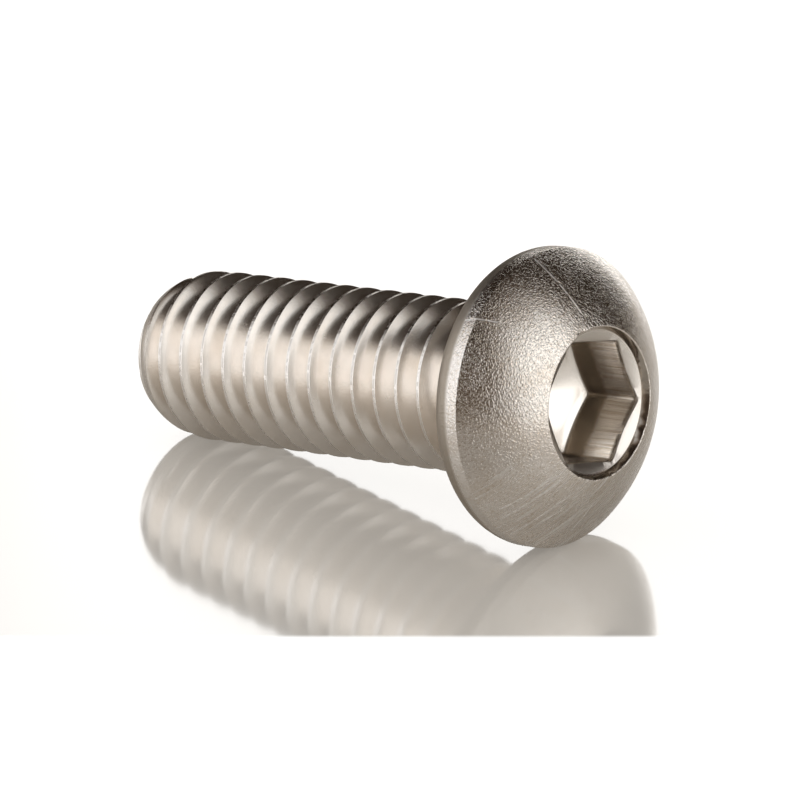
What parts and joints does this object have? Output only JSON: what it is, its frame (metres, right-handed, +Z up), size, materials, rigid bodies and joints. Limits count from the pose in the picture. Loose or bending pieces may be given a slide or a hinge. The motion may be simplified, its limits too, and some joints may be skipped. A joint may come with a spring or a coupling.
{
  "type": "button head socket screw",
  "caption": "Metric screw with a low domed head, a hexagon drive socket and a right-hand thread over the whole shank, clamping parts under its flat bearing face.",
  "frame": {"origin": "on the floor, under the middle of the screw as it lies at rest on the rim of its head and the first full crest of its thread", "axes": "+X along the screw from its point to its head, +Z up; the screw's own axis lies in the XZ plane and rises about 8 degrees towards the head"},
  "size_m": [0.0198, 0.0102, 0.0101],
  "materials": {
    "steel": "bright warm stainless steel, finely peened on the head and rolled smooth on the thread"
  },
  "bodies": {
    "root": {"screw": "steel"}
  },
  "joints": []
}
